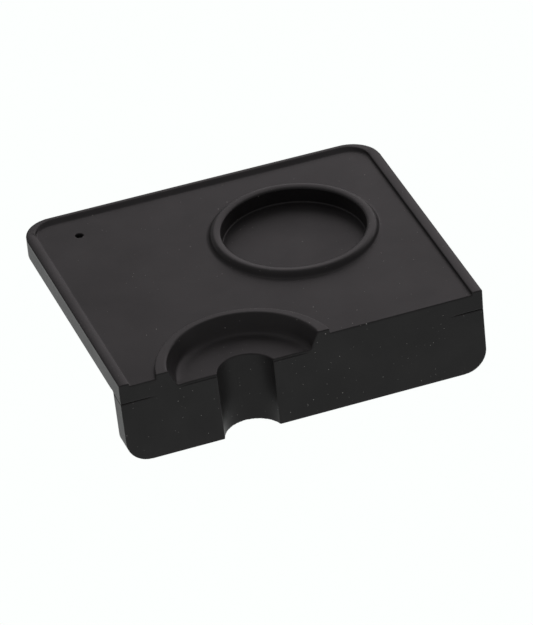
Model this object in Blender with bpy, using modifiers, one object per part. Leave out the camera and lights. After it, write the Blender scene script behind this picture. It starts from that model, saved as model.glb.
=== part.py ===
"""Corner tamping mat: a silicone pad that hooks over the edge of a counter.

Metres, +Z up. X runs along the counter's edge and +Y runs back over the counter. The origin is the
middle of the face that lies on the counter, so the mat's underside is at Z = 0. Places on the mat
are given by their distance from its front face.
"""
import math

import bmesh
import bpy

# Driving dimensions
WIDTH = 0.155
DEPTH = 0.130
LIP_DROP = 0.0294  # from the underside of the mat to the bottom of the lip
LIP_THICKNESS = 0.012
FLOOR_Z = 0.0075  # thickness of the mat at its working surface
RIM_RISE = 0.0013
RIM_SIDE_WIDTH = 0.0044
RIM_REAR_WIDTH = 0.0018  # of the flat top, in front of which the rear rim slopes down
RIM_REAR_SLOPE = 0.0024
OUTER_CORNER_R = 0.0135
INNER_CORNER_R = 0.0100

SEAT_X = 0.0248
SEAT_FROM_FRONT = 0.0774
SEAT_R = 0.030  # takes a 58 mm tamper with a little room
SEAT_FLOOR_Z = 0.0027
SEAT_COVE_R = 0.0007
RING_RISE = 0.0025
RING_OUTER_R = 0.0348

REST_X = -0.0249
REST_RISE = 0.0021  # of the band round the portafilter rest
BAND_R = 0.0375
BAND_FROM_FRONT = -0.0066  # the circles' centres lie in front of the mat
DISH_R = 0.0322
DISH_FROM_FRONT = -0.0042
DISH_FLOOR_Z = 0.0020
DISH_WALL_LEAN = 0.0027  # how much narrower the dish is at the foot of its wall than at its mouth
DISH_COVE_R = 0.0020

NOTCH_X = -0.0246
NOTCH_FROM_FRONT = -0.0028
NOTCH_R = 0.0124
NOTCH_LEAN = 0.0007  # how much shallower the notch is at the bottom of the lip

HOLE_X = -0.0562
HOLE_FROM_FRONT = 0.1135
HOLE_R = 0.0017

LIP_BOTTOM_CORNER_R = 0.010
LIP_REAR_EDGE_R = 0.003
LIP_REAR_DRAFT = 0.06  # how far the rear face leans forward for each metre down
SEAM_GAP = 0.0003
EDGE_ROUND = 0.0006
MERGE_DISTANCE = 0.000005  # closes the hair-thin slivers that a row of cuts can leave

# Derived places
REAR_Y = (DEPTH - LIP_THICKNESS) / 2  # the face on the counter reaches as far back as forward
LIP_REAR_Y = -REAR_Y
FRONT_Y = LIP_REAR_Y - LIP_THICKNESS
RIM_Z = FLOOR_Z + RIM_RISE
RING_Z = FLOOR_Z + RING_RISE
BAND_Z = FLOOR_Z + REST_RISE
OVERRUN = 0.004  # how far tools run past the faces that they cut
SINK = 0.001  # how far raised features reach down into the floor that they stand on
RING_ROUND = 0.0019
RING_FILLET = 0.0009
SEAT_LIP_ROUND = 0.0006
TANGENT_LIFT = 0.0001  # tilts a tangent arc's end through the plane that it would only touch
TURN_STEPS = 96
ARC_STEPS = 10


def start_scene():
    """Empty the scene and return collections for the parts and for the tools that shape them."""
    for obj in list(bpy.data.objects):
        bpy.data.objects.remove(obj, do_unlink=True)
    parts = bpy.data.collections.new("corner_tamping_mat")
    tools = bpy.data.collections.new("cutters")
    bpy.context.scene.collection.children.link(parts)
    bpy.context.scene.collection.children.link(tools)
    return parts, tools


def silicone(name, colour, roughness):
    material = bpy.data.materials.new(name)
    material.use_nodes = True
    shader = material.node_tree.nodes["Principled BSDF"]
    shader.inputs["Base Color"].default_value = (*colour, 1.0)
    shader.inputs["Roughness"].default_value = roughness
    shader.inputs["Metallic"].default_value = 0.0
    material.diffuse_color = (*colour, 1.0)
    return material


def arc(centre_a, centre_b, radius, start_deg, end_deg, steps=ARC_STEPS):
    """Points along an arc in any plane, as pairs."""
    points = []
    for i in range(steps + 1):
        angle = math.radians(start_deg + (end_deg - start_deg) * i / steps)
        points.append((centre_a + radius * math.cos(angle), centre_b + radius * math.sin(angle)))
    return points


def prism(name, outline, low, high, collection, upright=False):
    """A flat outline with thickness: XY pairs between two Z, or XZ pairs between two Y if upright."""
    curve = bpy.data.curves.new(name + "_outline", "CURVE")
    curve.dimensions = "2D"
    curve.fill_mode = "BOTH"
    curve.extrude = (high - low) / 2
    spline = curve.splines.new("POLY")
    spline.points.add(len(outline) - 1)
    for point, (a, b) in zip(spline.points, outline):
        point.co = (a, b, 0.0, 1.0)
    spline.use_cyclic_u = True
    guide = bpy.data.objects.new(name + "_guide", curve)
    collection.objects.link(guide)
    if upright:
        guide.rotation_euler = (math.radians(90), 0.0, 0.0)
        guide.location = (0.0, (low + high) / 2, 0.0)
    else:
        guide.location = (0.0, 0.0, (low + high) / 2)
    bpy.context.view_layer.update()
    evaluated = guide.evaluated_get(bpy.context.evaluated_depsgraph_get())
    mesh = bpy.data.meshes.new_from_object(evaluated)
    weld(mesh)
    obj = bpy.data.objects.new(name, mesh)
    obj.matrix_world = guide.matrix_world.copy()
    collection.objects.link(obj)
    bpy.data.objects.remove(guide, do_unlink=True)
    return obj


def weld(mesh):
    """Join a curve's loose caps to its walls and turn every face outward."""
    bm = bmesh.new()
    bm.from_mesh(mesh)
    bmesh.ops.remove_doubles(bm, verts=bm.verts, dist=0.000001)
    bmesh.ops.recalc_face_normals(bm, faces=bm.faces)
    bm.to_mesh(mesh)
    bm.free()


def turned(name, profile, x, y, collection):
    """A turned solid from a profile of (radius, z) pairs that runs down its outer side."""
    mesh = bpy.data.meshes.new(name)
    points = [(radius, 0.0, z) for radius, z in profile]
    mesh.from_pydata(points, [(i, i + 1) for i in range(len(points) - 1)], [])
    obj = bpy.data.objects.new(name, mesh)
    obj.location = (x, y, 0.0)
    collection.objects.link(obj)
    screw = obj.modifiers.new("Turn", "SCREW")
    screw.steps = TURN_STEPS
    screw.render_steps = TURN_STEPS
    screw.use_merge_vertices = True
    screw.merge_threshold = 0.00001
    return obj


def as_tool(obj):
    obj.hide_render = True
    obj.display_type = "WIRE"


def combine(target, tool, operation):
    """Cut the tool from the target, join it on, or keep only what they share."""
    as_tool(tool)
    boolean = target.modifiers.new(tool.name, "BOOLEAN")
    boolean.operation = operation
    boolean.solver = "EXACT"
    boolean.object = tool


def round_edges(obj, chosen):
    """A small Bevel on the edges that the test chooses by their two ends."""
    bm = bmesh.new()
    bm.from_mesh(obj.data)
    weight = bm.edges.layers.float.new("bevel_weight_edge")
    for edge in bm.edges:
        ends = [obj.matrix_world @ vert.co for vert in edge.verts]
        edge[weight] = 1.0 if chosen(*ends) else 0.0
    bm.to_mesh(obj.data)
    bm.free()
    bevel = obj.modifiers.new("Rounded edges", "BEVEL")
    bevel.limit_method = "WEIGHT"
    bevel.width = EDGE_ROUND
    bevel.segments = 2


def finish(obj, material):
    """Close up what the cuts left, and give the piece its material and its smooth shading."""
    close_up = obj.modifiers.new("Close slivers", "WELD")
    close_up.merge_threshold = MERGE_DISTANCE
    obj.data.materials.clear()
    obj.data.materials.append(material)
    obj.data.shade_smooth()
    obj.data.set_sharp_from_angle(angle=math.radians(35))


def rounded_rear_outline(half_width, front, rear, radius):
    """A rectangle in plan whose two rear corners are rounded."""
    outline = [(-half_width, front), (half_width, front)]
    outline += arc(half_width - radius, rear - radius, radius, 0, 90)
    outline += arc(radius - half_width, rear - radius, radius, 90, 180)
    return outline


def make_front_trim(tools):
    """A block in front of the mat, which leaves one flat front face on whatever it trims."""
    reach = WIDTH
    outline = [(-reach, FRONT_Y - reach), (reach, FRONT_Y - reach), (reach, FRONT_Y), (-reach, FRONT_Y)]
    return prism("front_trim", outline, -reach, reach, tools)


def make_spout_notch(tools):
    """The half-round groove down the front face, for the portafilter's spouts."""
    outline = arc(NOTCH_X, FRONT_Y + NOTCH_FROM_FRONT, NOTCH_R, 0, 360, 64)[:-1]
    notch = prism("spout_notch", outline, -LIP_DROP - OVERRUN, RING_Z + OVERRUN, tools)
    for vert in notch.data.vertices:
        if vert.co.z < 0.0:
            vert.co.y -= NOTCH_LEAN
    return notch


def make_floor_pocket(tools):
    """What is cut from the slab to leave the working surface inside the raised rim."""
    half_width = WIDTH / 2 - RIM_SIDE_WIDTH
    rear = REAR_Y - RIM_REAR_WIDTH
    outline = rounded_rear_outline(half_width, FRONT_Y - 2 * OVERRUN, rear, INNER_CORNER_R)
    pocket = prism("floor_pocket", outline, FLOOR_Z, RIM_Z + OVERRUN, tools)
    for vert in pocket.data.vertices:
        near_rear = max(0.0, (vert.co.y - rear + INNER_CORNER_R) / INNER_CORNER_R)
        above_rim = (pocket.location.z + vert.co.z - RIM_Z) / RIM_RISE
        vert.co.y += near_rear * above_rim * RIM_REAR_SLOPE
    return pocket


def make_tamper_ring(tools):
    """The raised ring round the tamper's seat: rounded at its top edge, filleted at its foot."""
    foot_r = RING_OUTER_R + RING_FILLET
    profile = [(0.0, RING_Z)]
    profile += arc(RING_OUTER_R - RING_ROUND, RING_Z - RING_ROUND, RING_ROUND, 90, 0, 5)
    profile += arc(foot_r, FLOOR_Z + RING_FILLET - TANGENT_LIFT, RING_FILLET, 180, 270, 4)
    profile += [(foot_r, FLOOR_Z - SINK), (0.0, FLOOR_Z - SINK)]
    return turned("tamper_ring", profile, SEAT_X, FRONT_Y + SEAT_FROM_FRONT, tools)


def make_tamper_seat(tools):
    """The hollow that a tamper stands in, with a rounded mouth and a cove round its floor."""
    mouth_r = SEAT_R + SEAT_LIP_ROUND
    mouth_z = RING_Z - SEAT_LIP_ROUND + TANGENT_LIFT
    profile = [(0.0, RING_Z + OVERRUN), (mouth_r, RING_Z + OVERRUN)]
    profile += arc(mouth_r, mouth_z, SEAT_LIP_ROUND, 90, 180, 3)
    profile += arc(SEAT_R - SEAT_COVE_R, SEAT_FLOOR_Z + SEAT_COVE_R, SEAT_COVE_R, 0, -90, 5)
    profile += [(0.0, SEAT_FLOOR_Z)]
    return turned("tamper_seat", profile, SEAT_X, FRONT_Y + SEAT_FROM_FRONT, tools)


def make_rest_band(tools):
    """The raised band round the portafilter rest: a disc that the front trim cuts to an arch."""
    outline = arc(REST_X, FRONT_Y + BAND_FROM_FRONT, BAND_R, 0, 360, TURN_STEPS)[:-1]
    return prism("rest_band", outline, FLOOR_Z - SINK, BAND_Z, tools)


def make_rest_dish(tools):
    """The hollow that the portafilter's basket lies in: a leaning wall, a cove and a flat floor."""
    foot_r = DISH_R - DISH_WALL_LEAN
    profile = [(0.0, BAND_Z + OVERRUN), (DISH_R, BAND_Z + OVERRUN), (DISH_R, BAND_Z)]
    profile += arc(foot_r - DISH_COVE_R, DISH_FLOOR_Z + DISH_COVE_R, DISH_COVE_R, 0, -90, 7)
    profile += [(0.0, DISH_FLOOR_Z)]
    return turned("rest_dish", profile, REST_X, FRONT_Y + DISH_FROM_FRONT, tools)


def make_hanging_hole(tools):
    outline = arc(HOLE_X, FRONT_Y + HOLE_FROM_FRONT, HOLE_R, 0, 360, 24)[:-1]
    return prism("hanging_hole", outline, -OVERRUN, FLOOR_Z + OVERRUN, tools)


def make_seam_relief(tools):
    """What is cut from the mat's underside over the lip, so that the two don't touch."""
    reach = WIDTH
    outline = [(-reach, FRONT_Y - reach), (reach, FRONT_Y - reach), (reach, LIP_REAR_Y), (-reach, LIP_REAR_Y)]
    return prism("seam_relief", outline, -OVERRUN, SEAM_GAP, tools)


def make_tamping_mat(parts, tools, front_trim, spout_notch):
    """The slab that lies on the counter, with everything that is moulded into its top."""
    outline = rounded_rear_outline(WIDTH / 2, FRONT_Y - OVERRUN, REAR_Y, OUTER_CORNER_R)
    mat = prism("tamping_mat", outline, 0.0, RIM_Z, parts)
    round_edges(mat, lambda a, b: min(a.z, b.z) > FLOOR_Z)
    combine(mat, make_floor_pocket(tools), "DIFFERENCE")
    combine(mat, make_tamper_ring(tools), "UNION")
    combine(mat, make_tamper_seat(tools), "DIFFERENCE")
    combine(mat, make_rest_band(tools), "UNION")
    combine(mat, make_rest_dish(tools), "DIFFERENCE")
    combine(mat, front_trim, "DIFFERENCE")
    combine(mat, spout_notch, "DIFFERENCE")
    combine(mat, make_hanging_hole(tools), "DIFFERENCE")
    combine(mat, make_seam_relief(tools), "DIFFERENCE")
    return mat


def make_lip_plan(tools):
    """The lip seen from above: rounded rear edges, and full in front of the front face."""
    front = FRONT_Y - OVERRUN
    outline = rounded_rear_outline(WIDTH / 2, front, LIP_REAR_Y, LIP_REAR_EDGE_R)
    return prism("lip_plan", outline, -LIP_DROP - OVERRUN, OVERRUN, tools)


def make_lip_rear_trim(tools):
    """A leaning block that gives the rear face its draft, so that it is thinner at the bottom."""
    top = OVERRUN
    bottom = -LIP_DROP - OVERRUN
    reach = 2 * LIP_THICKNESS
    outline = [(LIP_REAR_DRAFT * top, top), (LIP_REAR_DRAFT * bottom, bottom), (reach, bottom), (reach, top)]
    trim = prism("lip_rear_trim", outline, -WIDTH, WIDTH, tools, upright=True)
    trim.rotation_euler = (math.radians(90), 0.0, math.radians(90))
    trim.location = (0.0, LIP_REAR_Y, 0.0)
    return trim


def make_counter_edge_lip(parts, tools, front_trim, spout_notch):
    """The block that hangs in front of the counter's edge, with rounded bottom corners."""
    half_width = WIDTH / 2
    radius = LIP_BOTTOM_CORNER_R
    outline = [(half_width, 0.0), (-half_width, 0.0)]
    outline += arc(radius - half_width, radius - LIP_DROP, radius, 180, 270)
    outline += arc(half_width - radius, radius - LIP_DROP, radius, 270, 360)
    rear = LIP_REAR_Y + OVERRUN
    lip = prism("counter_edge_lip", outline, FRONT_Y - OVERRUN, rear, parts, upright=True)
    combine(lip, make_lip_plan(tools), "INTERSECT")
    combine(lip, make_lip_rear_trim(tools), "DIFFERENCE")
    combine(lip, front_trim, "DIFFERENCE")
    combine(lip, spout_notch, "DIFFERENCE")
    return lip


def main():
    parts, tools = start_scene()
    front_trim = make_front_trim(tools)
    spout_notch = make_spout_notch(tools)
    mat = make_tamping_mat(parts, tools, front_trim, spout_notch)
    lip = make_counter_edge_lip(parts, tools, front_trim, spout_notch)
    finish(mat, silicone("mat_silicone", (0.012, 0.011, 0.011), 0.55))
    finish(lip, silicone("lip_silicone", (0.010, 0.011, 0.011), 0.55))


main()
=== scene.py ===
"""Looks of the corner tamping mat: soft-edged moulded silicone on a white studio table.

Metres, +Z up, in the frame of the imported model: the mat's underside is at Z = 0, +X runs along the
counter's edge, and the front face, with the lip that hangs over the edge, is at the lowest Y.
"""
import math

import bmesh
import bpy
from mathutils import Matrix, Vector


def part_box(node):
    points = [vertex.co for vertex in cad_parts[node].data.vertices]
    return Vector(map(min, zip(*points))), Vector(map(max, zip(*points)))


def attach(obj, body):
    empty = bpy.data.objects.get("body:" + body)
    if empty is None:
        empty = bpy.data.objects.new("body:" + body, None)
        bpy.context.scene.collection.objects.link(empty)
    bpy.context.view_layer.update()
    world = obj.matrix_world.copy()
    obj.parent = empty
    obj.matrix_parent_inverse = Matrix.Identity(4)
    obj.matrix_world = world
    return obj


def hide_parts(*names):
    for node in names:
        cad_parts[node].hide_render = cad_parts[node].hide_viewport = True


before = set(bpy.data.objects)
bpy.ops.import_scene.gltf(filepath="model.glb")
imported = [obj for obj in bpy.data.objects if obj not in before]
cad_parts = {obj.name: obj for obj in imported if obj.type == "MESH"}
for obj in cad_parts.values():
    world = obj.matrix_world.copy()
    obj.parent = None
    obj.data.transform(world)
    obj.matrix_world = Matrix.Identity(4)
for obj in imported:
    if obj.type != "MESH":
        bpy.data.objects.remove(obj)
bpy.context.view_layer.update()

MAT = "tamping_mat"
LIP = "counter_edge_lip"
mat_low, mat_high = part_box(MAT)
lip_low, lip_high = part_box(LIP)
FRONT_Y = mat_low.y
HALF_WIDTH = mat_high.x
LIP_BOTTOM = lip_low.z

# Mesh detail
VOXEL = 0.0003
TINY = 1e-6
LIP_OVERLAP = 0.0008  # how far the lip is raised into the mat before the two are blended
SMOOTH_ROUNDS = 3
SHARP_ANGLE = math.radians(50)
MAT_FACES = 190000
LIP_FACES = 70000

# How the soft mat hangs
SIDE_DRAFT = 0.012  # how far the sides lean in, for each metre down
TWIST_LEFT = 0.0007  # the soft mat doesn't lie quite flat: how far its rear left corner is raised
TWIST_RIGHT = 0.0008  # and how far its rear right corner hangs
LIP_SWAY = 0.018  # how far the hanging lip leans to the right, for each metre down
LIP_SHARE = 0.2  # the share of the depth, from the front, that the lip is within

# Rim and tamper ring
FLOOR_Z = 0.0075
RIM_WIDTH = 0.0044
RIM_TOP = mat_low.z + 0.0088
RIM_CROWN = 0.00018  # how far the middle of a side rim stands above its edges
SEAT_CENTRE = (0.0248, FRONT_Y + 0.0774)
SEAT_FLOOR_Z = 0.0027
COVE_SIZE = 0.001
RING_INNER_R = 0.0300
RING_OUTER_R = 0.0348
RING_CROWN = 0.00035
RING_CROWN_DEPTH = 5 * VOXEL  # how far down from the ring's top its doming is felt

# Portafilter rest
REST_X = -0.0249
REST_Y = FRONT_Y - 0.0042
DISH_HALF_WIDTH = 0.0290
DISH_FLOOR_Z = 0.0020
STEP_Z = 0.0009  # under the rest, the mat's edge is set back down to this height
STEP_DEPTH = 0.00035
STEP_HALF_HEIGHT = 0.00008
STEP_FADE = 0.006  # how far from the dish's ends the step reaches its full depth
EDGE_REACH = 0.0008  # how far behind the front face the edge is still moved
CUT_REACH = 0.001  # and how far behind it the faces are cut for the step

# Corners moulded soft: centre, radius, lowest height, reach to each side, reach up, and share of the
# smoothing
SOFT_CORNERS = (
    (REST_X, REST_Y, 0.0295, DISH_FLOOR_Z, 0.0070, 0.0058, 1.0),  # foot of the dish's wall
    (REST_X, REST_Y, 0.0322, 0.0080, 0.0016, 0.0040, 0.12),  # top of the dish's wall
    (*SEAT_CENTRE, RING_OUTER_R, FLOOR_Z, 0.0022, 0.0016, 0.1),  # outer foot of the ring
)
SOFT_ROUNDS = 200
FRONT_FACE_KEPT = (0.0008, 0.0030)  # behind the front face, where softening starts and is full

# Seam between the two mouldings
SEAM_Z = lip_high.z - 0.00015
SEAM_DEPTH = 0.00022
SEAM_HALF_GAP = 0.00006
SEAM_REACH = 0.016  # how far in from each end the seam shows
SEAM_FADE = 0.006
AT_FRONT = 0.0004  # a point of the seam this near the front face is on it
AT_END = 0.001  # and this near an end is on the end face

# Material
BLACK = (0.0080, 0.0077, 0.0078)
DARKER, LIGHTER = 0.8, 1.2  # the mottling's shades of that black
ROUGHNESS = 0.43
SPECULAR = 0.22
SILICONE_IOR = 1.41
SMUDGES = 0.03  # how far the roughness wanders
HANDLED_SHINE = 0.07  # how much smoother the raised edges are
GRAIN_HEIGHT = 0.00004
DUST = (0.38, 0.38, 0.36)
DUST_SIZES = ((400.0, 0.00022), (800.0, 0.00015))  # cells per metre, radius of a speck
MAT_DUST = 0.08  # the share of cells that hold a speck
LIP_DUST = 0.22

# Light: what the object sees of the table and of the room
TABLE_TINT = (0.98, 1.0, 0.99)
TABLE_LIGHT = 1.0
ROOM_FRONT_LIGHT = 0.60
ROOM_BACK_LIGHT = 0.42
CEILING_LIGHT = 0.50  # how much more comes from high up, a little behind the mat
CEILING_RISE = math.radians(72)
CEILING_EDGE = 0.80  # cosine of how far that light reaches
ROOM_TINT = (1.0, 0.95, 0.97)
SOFTBOX_TURN = math.radians(44)  # from straight behind the mat towards its right
SOFTBOX_RISE = math.radians(30)
SOFTBOX_DISTANCE = 1.1
SOFTBOX_SIZE = (1.3, 0.75)
SOFTBOX_POWER = 4.05
SOFTBOX_TINT = (1.0, 0.92, 0.955)

# Camera: a long lens, to the left of the mat and above it
TARGET = Vector((-0.00262, FRONT_Y + 0.03633, 0.00012))
CAMERA_TURN = math.radians(16.94)
CAMERA_RISE = math.radians(33.34)
CAMERA_ROLL = math.radians(5.3)
CAMERA_DISTANCE = 2.626
LENS_MM = 374.4
SENSOR_MM = 36.0


def smoothstep(low, high, value):
    """0 at low and 1 at high, easing between them; low may be the larger of the two."""
    share = min(max((value - low) / (high - low), 0.0), 1.0)
    return share * share * (3.0 - 2.0 * share)


# --- meshes ---------------------------------------------------------------------------------------


def joined_blank():
    """One closed mesh of both CAD solids, the lip raised a little so that the two overlap."""
    bm = bmesh.new()
    for node, lift in ((MAT, 0.0), (LIP, LIP_OVERLAP)):
        part = bmesh.new()
        part.from_mesh(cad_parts[node].data)
        bmesh.ops.remove_doubles(part, verts=part.verts, dist=TINY)
        for vert in part.verts:
            if lift and vert.co.z > lip_high.z - 10 * TINY:
                vert.co.z += lift
        mesh = bpy.data.meshes.new("blank")
        part.to_mesh(mesh)
        part.free()
        bm.from_mesh(mesh)
        bpy.data.meshes.remove(mesh)
    mesh = bpy.data.meshes.new("blank")
    bm.to_mesh(mesh)
    bm.free()
    blank = bpy.data.objects.new("blank", mesh)
    bpy.context.scene.collection.objects.link(blank)
    return blank


def applied(obj):
    """The object's mesh with its modifiers applied, as a new mesh."""
    bpy.context.view_layer.update()
    evaluated = obj.evaluated_get(bpy.context.evaluated_depsgraph_get())
    return bpy.data.meshes.new_from_object(evaluated)


def crowned(place):
    """How far a point on top of a side rim or of the ring sinks, to leave those tops domed."""
    from_side = HALF_WIDTH - abs(place.x)
    across = (from_side / RIM_WIDTH - 0.5) * 2.0
    on_rim = abs(across) <= 1.0 and abs(place.z - RIM_TOP) < VOXEL
    if on_rim and place.y < mat_high.y - 2 * RIM_WIDTH:
        return RIM_CROWN * across * across
    radius = math.hypot(place.x - SEAT_CENTRE[0], place.y - SEAT_CENTRE[1])
    across = ((radius - RING_INNER_R) / (RING_OUTER_R - RING_INNER_R) - 0.5) * 2.0
    if abs(across) <= 1.0 and mat_high.z - place.z < RING_CROWN_DEPTH:
        return RING_CROWN * across * across
    return 0.0


def softness(place):
    """How much a point is smoothed: up to 1 in a soft corner, falling to 0 away from it."""
    best = 0.0
    for x, y, radius, low, reach, rise, share in SOFT_CORNERS:
        sideways = abs(math.hypot(place.x - x, place.y - y) - radius)
        if sideways < reach and low - VOXEL < place.z < low + rise:
            up = max(0.0, place.z - low)
            near = smoothstep(reach, 0.3 * reach, sideways) * smoothstep(rise, 0.5 * rise, up)
            best = max(best, share * near)
    return best * smoothstep(*FRONT_FACE_KEPT, place.y - FRONT_Y)


def squared(place):
    """Moves a point of the small cove at the foot of the seat's wall out into the corner."""
    out = Vector((place.x - SEAT_CENTRE[0], place.y - SEAT_CENTRE[1], 0.0))
    from_wall, up = RING_INNER_R - out.length, place.z - SEAT_FLOOR_Z
    if -VOXEL < from_wall < COVE_SIZE and -VOXEL < up < COVE_SIZE:
        if from_wall > up:
            place.z = SEAT_FLOOR_Z
        else:
            place += out.normalized() * from_wall


def softened(blank):
    """The blank as one dense mesh with its edges and inside corners softened, as moulded rubber."""
    remesh = blank.modifiers.new("Dense", "REMESH")
    remesh.mode = "VOXEL"
    remesh.voxel_size = VOXEL
    mesh = applied(blank)
    for vert in mesh.vertices:
        vert.co.z -= crowned(vert.co)
        squared(vert.co)
    blank.modifiers.clear()
    blank.data = mesh
    smooth = blank.modifiers.new("Soft", "SMOOTH")
    smooth.factor = 0.5
    smooth.iterations = SMOOTH_ROUNDS
    corners = blank.vertex_groups.new(name="soft corners")
    for vert in mesh.vertices:
        share = softness(vert.co)
        if share > 0.0:
            corners.add([vert.index], share, "REPLACE")
    blend = blank.modifiers.new("Soft corners", "SMOOTH")
    blend.factor = 0.5
    blend.iterations = SOFT_ROUNDS
    blend.vertex_group = corners.name
    mesh = applied(blank)
    bpy.data.objects.remove(blank, do_unlink=True)
    return mesh


def relaxed(mesh):
    """Gives the drafted sides and the slight twist of a soft mat, once the seams are cut."""
    for vert in mesh.vertices:
        drop = mat_high.z - vert.co.z
        sideways = vert.co.x / HALF_WIDTH
        back = (vert.co.y - FRONT_Y) / (mat_high.y - FRONT_Y)
        twist = TWIST_LEFT if sideways < 0.0 else TWIST_RIGHT
        vert.co.x *= 1.0 - SIDE_DRAFT * drop / HALF_WIDTH
        vert.co.z -= twist * sideways * max(0.0, back)
        if back < LIP_SHARE:
            vert.co.x += LIP_SWAY * max(0.0, -vert.co.z)


def seam_weight(x):
    """1 near the ends, where the seam shows; 0 where the two mouldings meet flush."""
    return 1.0 - smoothstep(SEAM_REACH - SEAM_FADE, SEAM_REACH, HALF_WIDTH - abs(x))


def set_back_edge(bm):
    """Sets the mat's thin edge under the rest back a little, above a step at the top of the lip."""
    for height in (STEP_Z - STEP_HALF_HEIGHT, STEP_Z + STEP_HALF_HEIGHT):
        near = [f for f in bm.faces if f.calc_center_median().y < FRONT_Y + CUT_REACH]
        edges = {edge for face in near for edge in face.edges}
        verts = {vert for face in near for vert in face.verts}
        bmesh.ops.bisect_plane(
            bm,
            geom=list(verts | edges) + near,
            plane_co=(0.0, 0.0, height),
            plane_no=(0.0, 0.0, 1.0),
            dist=0.1 * TINY,
        )
    for vert in bm.verts:
        at_edge = vert.co.y <= FRONT_Y + EDGE_REACH
        if at_edge and STEP_Z < vert.co.z < DISH_FLOOR_Z + 2 * VOXEL:
            from_end = DISH_HALF_WIDTH - abs(vert.co.x - REST_X)
            vert.co.y += STEP_DEPTH * smoothstep(0.0, STEP_FADE, from_end)


def part_of(mesh, name, upper):
    """The part of the mesh above or below the seam, closed again, with the seam's edge drawn in."""
    bm = bmesh.new()
    bm.from_mesh(mesh)
    side = 1.0 if upper else -1.0
    cut = bmesh.ops.bisect_plane(
        bm,
        geom=bm.verts[:] + bm.edges[:] + bm.faces[:],
        plane_co=(0.0, 0.0, SEAM_Z),
        plane_no=(0.0, 0.0, side),
        clear_inner=True,
        dist=0.1 * TINY,
    )
    rim = [edge for edge in cut["geom_cut"] if isinstance(edge, bmesh.types.BMEdge)]
    if upper:
        set_back_edge(bm)
    for vert in {vert for edge in rim for vert in edge.verts}:
        weight = seam_weight(vert.co.x)
        if vert.co.y < FRONT_Y + AT_FRONT:
            vert.co.y += SEAM_DEPTH * weight
        elif HALF_WIDTH - abs(vert.co.x) < AT_END:
            vert.co.x -= math.copysign(SEAM_DEPTH * weight, vert.co.x)
        vert.co.z += side * SEAM_HALF_GAP * weight
    bmesh.ops.edgeloop_fill(bm, edges=rim)
    bmesh.ops.recalc_face_normals(bm, faces=bm.faces)
    piece_mesh = bpy.data.meshes.new(name)
    bm.to_mesh(piece_mesh)
    bm.free()
    piece = bpy.data.objects.new(name, piece_mesh)
    bpy.context.scene.collection.objects.link(piece)
    return piece


def lightened(piece, faces):
    """Fewer triangles on the flat stretches, all of them round the curves."""
    piece.data.calc_loop_triangles()
    share = faces / max(len(piece.data.loop_triangles), faces)
    decimate = piece.modifiers.new("Lighter", "DECIMATE")
    decimate.ratio = share
    mesh = applied(piece)
    piece.modifiers.clear()
    piece.data = mesh
    mesh.shade_smooth()
    mesh.set_sharp_from_angle(angle=SHARP_ANGLE)


# --- materials ------------------------------------------------------------------------------------


class Nodes:
    """Short calls that add and join the shader nodes of a material or a world."""

    def __init__(self, owner):
        owner.use_nodes = True
        self.tree = owner.node_tree
        self.shader = self.tree.nodes.get("Principled BSDF")

    def add(self, kind, **values):
        node = self.tree.nodes.new(kind)
        for key, value in values.items():
            if key in node.inputs:
                node.inputs[key].default_value = value
            else:
                setattr(node, key, value)
        return node

    def join(self, source, target):
        self.tree.links.new(source, target)


def dust(nodes, place, per_metre, radius, share):
    """How bright the dust is: 0 where there is none, up to 1 on a few specks."""
    cells = nodes.add("ShaderNodeTexVoronoi", Scale=per_metre)
    nodes.join(place, cells.inputs["Vector"])
    near = nodes.add("ShaderNodeMapRange", interpolation_type="SMOOTHSTEP")
    near.inputs["From Min"].default_value = radius * per_metre
    near.inputs["From Max"].default_value = 0.4 * radius * per_metre
    nodes.join(cells.outputs["Distance"], near.inputs["Value"])
    lot = nodes.add("ShaderNodeSeparateColor")
    nodes.join(cells.outputs["Color"], lot.inputs["Color"])
    bright = nodes.add("ShaderNodeMapRange")
    bright.inputs["From Min"].default_value = share
    bright.inputs["From Max"].default_value = 0.0
    nodes.join(lot.outputs["Red"], bright.inputs["Value"])
    speck = nodes.add("ShaderNodeMath", operation="MULTIPLY")
    nodes.join(near.outputs["Result"], speck.inputs[0])
    nodes.join(bright.outputs["Result"], speck.inputs[1])
    return speck.outputs[0]


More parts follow.
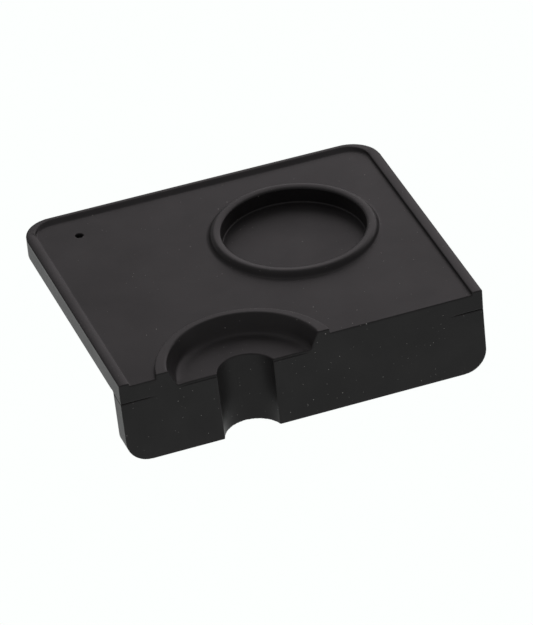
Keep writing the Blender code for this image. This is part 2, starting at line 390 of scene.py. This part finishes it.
def silicone(name, dust_share):
    """Matt black silicone: faint mottling, a fine mould grain, and specks of dust."""
    material = bpy.data.materials.new(name)
    nodes = Nodes(material)
    shader = nodes.shader
    shader.inputs["IOR"].default_value = SILICONE_IOR
    shader.inputs["Specular IOR Level"].default_value = SPECULAR
    place = nodes.add("ShaderNodeTexCoord").outputs["Object"]

    mottle = nodes.add("ShaderNodeTexNoise", Scale=60.0, Detail=4.0)
    nodes.join(place, mottle.inputs["Vector"])
    tint = nodes.add("ShaderNodeValToRGB")
    tint.color_ramp.elements[0].position = 0.35
    tint.color_ramp.elements[1].position = 0.68
    tint.color_ramp.elements[0].color = (*[DARKER * c for c in BLACK], 1.0)
    tint.color_ramp.elements[1].color = (*[LIGHTER * c for c in BLACK], 1.0)
    nodes.join(mottle.outputs["Fac"], tint.inputs["Fac"])

    colour = tint.outputs["Color"]
    for per_metre, radius in DUST_SIZES:
        dusted = nodes.add("ShaderNodeMix", data_type="RGBA")
        nodes.join(dust(nodes, place, per_metre, radius, dust_share), dusted.inputs["Factor"])
        nodes.join(colour, dusted.inputs["A"])
        dusted.inputs["B"].default_value = (*DUST, 1.0)
        colour = dusted.outputs["Result"]
    nodes.join(colour, shader.inputs["Base Color"])

    smudges = nodes.add("ShaderNodeTexNoise", Scale=40.0, Detail=6.0, Roughness=0.6)
    nodes.join(place, smudges.inputs["Vector"])
    gloss = nodes.add("ShaderNodeMapRange")
    gloss.inputs["From Min"].default_value = 0.3
    gloss.inputs["From Max"].default_value = 0.7
    gloss.inputs["To Min"].default_value = ROUGHNESS - SMUDGES
    gloss.inputs["To Max"].default_value = ROUGHNESS + SMUDGES
    nodes.join(smudges.outputs["Fac"], gloss.inputs["Value"])
    height = nodes.add("ShaderNodeSeparateXYZ")
    nodes.join(place, height.inputs[0])
    handled = nodes.add("ShaderNodeMapRange", interpolation_type="SMOOTHSTEP")
    handled.inputs["From Min"].default_value = RIM_TOP - 0.0011
    handled.inputs["From Max"].default_value = RIM_TOP - 0.0003
    handled.inputs["To Max"].default_value = HANDLED_SHINE
    nodes.join(height.outputs["Z"], handled.inputs["Value"])
    worn = nodes.add("ShaderNodeMath", operation="SUBTRACT")
    nodes.join(gloss.outputs["Result"], worn.inputs[0])
    nodes.join(handled.outputs["Result"], worn.inputs[1])
    nodes.join(worn.outputs[0], shader.inputs["Roughness"])

    grain = nodes.add("ShaderNodeTexNoise", Scale=2600.0, Detail=2.0)
    nodes.join(place, grain.inputs["Vector"])
    bump = nodes.add("ShaderNodeBump", Strength=0.25, Distance=GRAIN_HEIGHT)
    nodes.join(grain.outputs["Fac"], bump.inputs["Height"])
    nodes.join(bump.outputs["Normal"], shader.inputs["Normal"])
    return material


# --- stage, lights and camera ---------------------------------------------------------------------


def make_floor():
    """A white table, lit to plain white as in a catalogue picture, so that it shows no shadow."""
    bpy.ops.mesh.primitive_plane_add(size=30.0, location=(0.0, 0.0, LIP_BOTTOM - 0.0002))
    floor = bpy.context.object
    floor.name = "studio_table"
    material = bpy.data.materials.new("white_table")
    nodes = Nodes(material)
    nodes.shader.inputs["Base Color"].default_value = (0.0, 0.0, 0.0, 1.0)
    nodes.shader.inputs["Roughness"].default_value = 1.0
    nodes.shader.inputs["Specular IOR Level"].default_value = 0.0
    nodes.shader.inputs["Emission Color"].default_value = (*TABLE_TINT, 1.0)
    nodes.shader.inputs["Emission Strength"].default_value = TABLE_LIGHT
    floor.data.materials.append(material)


def make_world():
    """A dim room that lights the object from all round, and shows as white behind it."""
    world = bpy.data.worlds.new("studio")
    nodes = Nodes(world)
    direction = nodes.add("ShaderNodeTexCoord").outputs["Generated"]
    split = nodes.add("ShaderNodeSeparateXYZ")
    nodes.join(direction, split.inputs[0])
    towards = nodes.add("ShaderNodeVectorMath", operation="DOT_PRODUCT")
    nodes.join(direction, towards.inputs[0])
    towards.inputs[1].default_value = (0.0, math.cos(CEILING_RISE), math.sin(CEILING_RISE))
    strength = nodes.add("ShaderNodeMapRange")
    strength.inputs["From Min"].default_value = -1.0
    strength.inputs["To Min"].default_value = ROOM_FRONT_LIGHT
    strength.inputs["To Max"].default_value = ROOM_BACK_LIGHT
    nodes.join(split.outputs["Y"], strength.inputs["Value"])
    above = nodes.add("ShaderNodeMapRange", interpolation_type="SMOOTHSTEP")
    above.inputs["From Min"].default_value = CEILING_EDGE
    above.inputs["To Max"].default_value = CEILING_LIGHT
    nodes.join(towards.outputs["Value"], above.inputs["Value"])
    total = nodes.add("ShaderNodeMath", operation="ADD")
    nodes.join(strength.outputs["Result"], total.inputs[0])
    nodes.join(above.outputs["Result"], total.inputs[1])
    room = nodes.add("ShaderNodeBackground", Color=(*ROOM_TINT, 1.0))
    nodes.join(total.outputs[0], room.inputs["Strength"])
    seen = nodes.add("ShaderNodeBackground", Color=(1.0, 1.0, 1.0, 1.0), Strength=1.0)
    choice = nodes.add("ShaderNodeMixShader")
    nodes.join(nodes.add("ShaderNodeLightPath").outputs["Is Camera Ray"], choice.inputs[0])
    nodes.join(room.outputs[0], choice.inputs[1])
    nodes.join(seen.outputs[0], choice.inputs[2])
    nodes.join(choice.outputs[0], nodes.tree.nodes["World Output"].inputs["Surface"])
    bpy.context.scene.world = world


def make_softbox():
    """The one large lamp, behind the mat and to its right, whose reflection lights the top."""
    light = bpy.data.lights.new("softbox", "AREA")
    light.shape = "RECTANGLE"
    light.size, light.size_y = SOFTBOX_SIZE
    light.energy = SOFTBOX_POWER
    light.color = SOFTBOX_TINT
    obj = bpy.data.objects.new("softbox", light)
    away = Vector((
        math.sin(SOFTBOX_TURN) * math.cos(SOFTBOX_RISE),
        math.cos(SOFTBOX_TURN) * math.cos(SOFTBOX_RISE),
        math.sin(SOFTBOX_RISE),
    ))
    obj.location = away * SOFTBOX_DISTANCE
    obj.rotation_euler = away.to_track_quat("Z", "Y").to_euler()
    bpy.context.scene.collection.objects.link(obj)


def make_camera():
    camera = bpy.data.cameras.new("camera")
    camera.lens = LENS_MM
    camera.sensor_width = SENSOR_MM
    camera.clip_end = 20.0
    obj = bpy.data.objects.new("camera", camera)
    back = Vector((
        -math.sin(CAMERA_TURN) * math.cos(CAMERA_RISE),
        -math.cos(CAMERA_TURN) * math.cos(CAMERA_RISE),
        math.sin(CAMERA_RISE),
    ))
    facing = back.to_track_quat("Z", "Y").to_matrix().to_4x4()
    roll = Matrix.Rotation(-CAMERA_ROLL, 4, "Z")
    obj.matrix_world = Matrix.Translation(TARGET + back * CAMERA_DISTANCE) @ facing @ roll
    bpy.context.scene.collection.objects.link(obj)
    bpy.context.scene.camera = obj


# --- the scene ------------------------------------------------------------------------------------


def make_pieces():
    blended = softened(joined_blank())
    mat = part_of(blended, "mat_moulding", True)
    lip = part_of(blended, "lip_moulding", False)
    relaxed(mat.data)
    relaxed(lip.data)
    lightened(mat, MAT_FACES)
    lightened(lip, LIP_FACES)
    mat.data.materials.append(silicone("mat_silicone", MAT_DUST))
    lip.data.materials.append(silicone("lip_silicone", LIP_DUST))
    for piece, node in ((mat, MAT), (lip, LIP)):
        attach(piece, "root")
        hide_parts(node)


bpy.context.scene.view_settings.view_transform = "Standard"
make_camera()
make_floor()
make_world()
make_softbox()
make_pieces()
